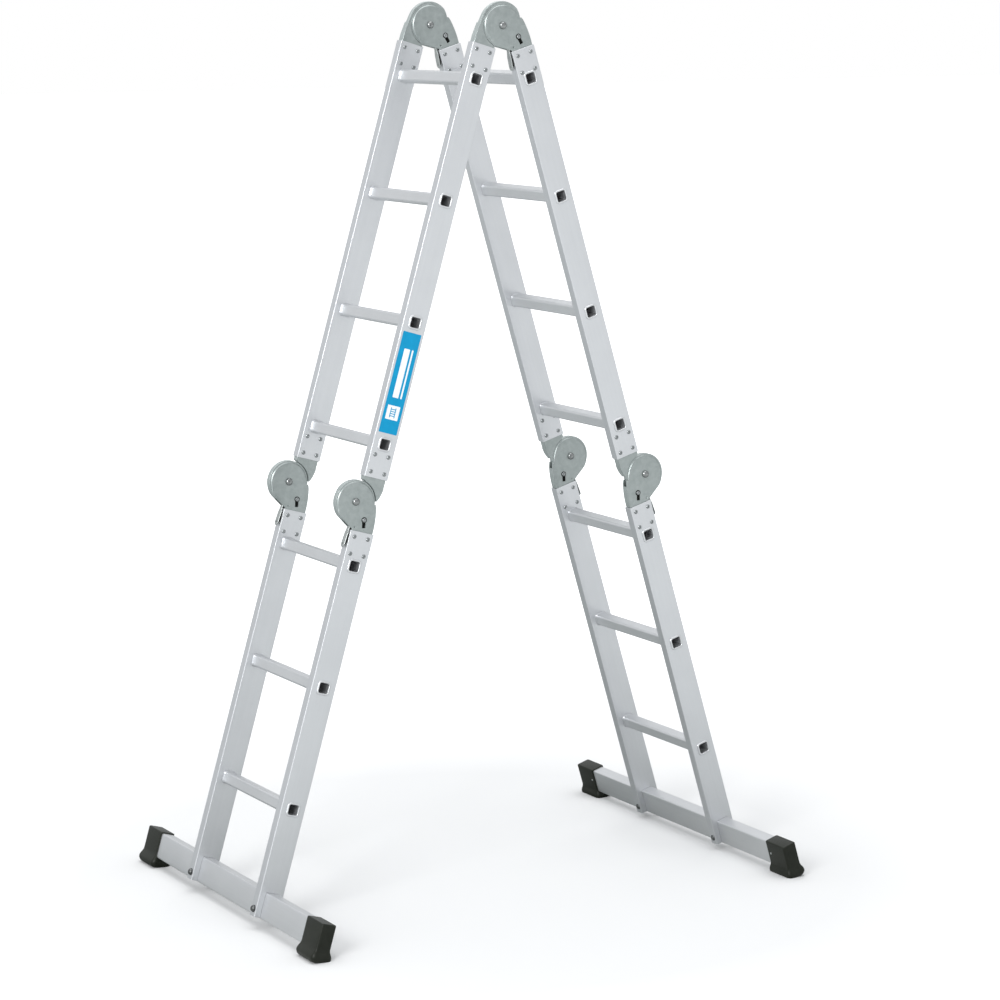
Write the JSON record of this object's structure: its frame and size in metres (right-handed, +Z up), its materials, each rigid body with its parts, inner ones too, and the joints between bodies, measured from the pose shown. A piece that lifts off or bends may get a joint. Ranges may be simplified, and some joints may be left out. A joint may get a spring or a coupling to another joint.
{
  "type": "multi position ladder",
  "caption": "Folding aluminium ladder standing as an A-frame: hinged sections of square rungs between box stiles, locking hinges, wide stabiliser bars with rubber feet.",
  "frame": {"origin": "on the floor, at the centre of the four feet", "axes": "+Z up; +X along the rungs, towards the right side of someone facing the front leg; the front leg spreads towards -Y and the rear leg towards +Y"},
  "size_m": [0.935, 1.3014, 2.044],
  "materials": {
    "stile_aluminium": "satin extruded",
    "rung_aluminium": "satin extruded",
    "hinge_zinc": "dull zinc plated",
    "fastener_steel": "bright zinc plated",
    "foot_rubber": "matt moulded",
    "label_film": "satin printed film"
  },
  "bodies": {
    "front_upper": {"front_upper_left_stile": "stile_aluminium", "front_knee_left_tongue": "hinge_zinc", "front_upper_right_stile": "stile_aluminium", "front_knee_right_tongue": "hinge_zinc", "front_upper_rung_1": "rung_aluminium", "front_upper_rung_2": "rung_aluminium", "front_upper_rung_3": "rung_aluminium", "front_upper_rung_4": "rung_aluminium", "top_left_hinge_tongue": "hinge_zinc", "top_right_hinge_tongue": "hinge_zinc", "side_label": "label_film"},
    "rear_upper": {"rear_upper_left_stile": "stile_aluminium", "rear_knee_left_tongue": "hinge_zinc", "rear_upper_right_stile": "stile_aluminium", "rear_knee_right_tongue": "hinge_zinc", "rear_upper_rung_1": "rung_aluminium", "rear_upper_rung_2": "rung_aluminium", "rear_upper_rung_3": "rung_aluminium", "rear_upper_rung_4": "rung_aluminium", "top_left_hinge_fork": "hinge_zinc", "top_left_pivot_rivet": "fastener_steel", "top_right_hinge_fork": "hinge_zinc", "top_right_pivot_rivet": "fastener_steel"},
    "front_lower": {"front_lower_left_stile": "stile_aluminium", "front_knee_left_fork": "hinge_zinc", "front_knee_left_pivot_rivet": "fastener_steel", "front_left_bar_bolt": "fastener_steel", "front_left_foot": "foot_rubber", "front_lower_right_stile": "stile_aluminium", "front_knee_right_fork": "hinge_zinc", "front_knee_right_pivot_rivet": "fastener_steel", "front_right_bar_bolt": "fastener_steel", "front_right_foot": "foot_rubber", "front_lower_rung_1": "rung_aluminium", "front_lower_rung_2": "rung_aluminium", "front_lower_rung_3": "rung_aluminium", "front_stabiliser_bar": "stile_aluminium"},
    "rear_lower": {"rear_lower_left_stile": "stile_aluminium", "rear_knee_left_fork": "hinge_zinc", "rear_knee_left_pivot_rivet": "fastener_steel", "rear_left_bar_bolt": "fastener_steel", "rear_left_foot": "foot_rubber", "rear_lower_right_stile": "stile_aluminium", "rear_knee_right_fork": "hinge_zinc", "rear_knee_right_pivot_rivet": "fastener_steel", "rear_right_bar_bolt": "fastener_steel", "rear_right_foot": "foot_rubber", "rear_lower_rung_1": "rung_aluminium", "rear_lower_rung_2": "rung_aluminium", "rear_lower_rung_3": "rung_aluminium", "rear_stabiliser_bar": "stile_aluminium"},
    "front_knee_left_lock": {"front_knee_left_lock_lever": "fastener_steel"},
    "front_knee_right_lock": {"front_knee_right_lock_lever": "fastener_steel"},
    "rear_knee_left_lock": {"rear_knee_left_lock_lever": "fastener_steel"},
    "rear_knee_right_lock": {"rear_knee_right_lock_lever": "fastener_steel"},
    "top_left_lock": {"top_left_lock_lever": "fastener_steel"},
    "top_right_lock": {"top_right_lock_lever": "fastener_steel"}
  },
  "joints": [
    {"name": "top_fold", "type": "hinge", "parent": "front_upper", "child": "rear_upper", "pos_m": [0, 0, 1.99], "axis": [1, 0, 0], "range_deg": [-33.2, 146.8]},
    {"name": "front_knee_fold", "type": "hinge", "parent": "front_upper", "child": "front_lower", "pos_m": [0, -0.38285, 0.94377], "axis": [-1, 0, 0], "range_deg": [0, 180]},
    {"name": "rear_knee_fold", "type": "hinge", "parent": "rear_upper", "child": "rear_lower", "pos_m": [0, 0.38285, 0.94377], "axis": [1, 0, 0], "range_deg": [0, 180]},
    {"name": "top_left_lock_release", "type": "slide", "parent": "rear_upper", "child": "top_left_lock", "axis": [0, 0.2857, -0.9583], "range_m": [0, 0.006], "stiffness_N_per_m": 500, "springref_m": -0.012},
    {"name": "top_right_lock_release", "type": "slide", "parent": "rear_upper", "child": "top_right_lock", "axis": [0, 0.2857, -0.9583], "range_m": [0, 0.006], "stiffness_N_per_m": 500, "springref_m": -0.012},
    {"name": "front_knee_left_lock_release", "type": "slide", "parent": "front_lower", "child": "front_knee_left_lock", "axis": [0, -0.2857, -0.9583], "range_m": [0, 0.006], "stiffness_N_per_m": 500, "springref_m": -0.012},
    {"name": "front_knee_right_lock_release", "type": "slide", "parent": "front_lower", "child": "front_knee_right_lock", "axis": [0, -0.2857, -0.9583], "range_m": [0, 0.006], "stiffness_N_per_m": 500, "springref_m": -0.012},
    {"name": "rear_knee_left_lock_release", "type": "slide", "parent": "rear_lower", "child": "rear_knee_left_lock", "axis": [0, 0.2857, -0.9583], "range_m": [0, 0.006], "stiffness_N_per_m": 500, "springref_m": -0.012},
    {"name": "rear_knee_right_lock_release", "type": "slide", "parent": "rear_lower", "child": "rear_knee_right_lock", "axis": [0, 0.2857, -0.9583], "range_m": [0, 0.006], "stiffness_N_per_m": 500, "springref_m": -0.012}
  ]
}
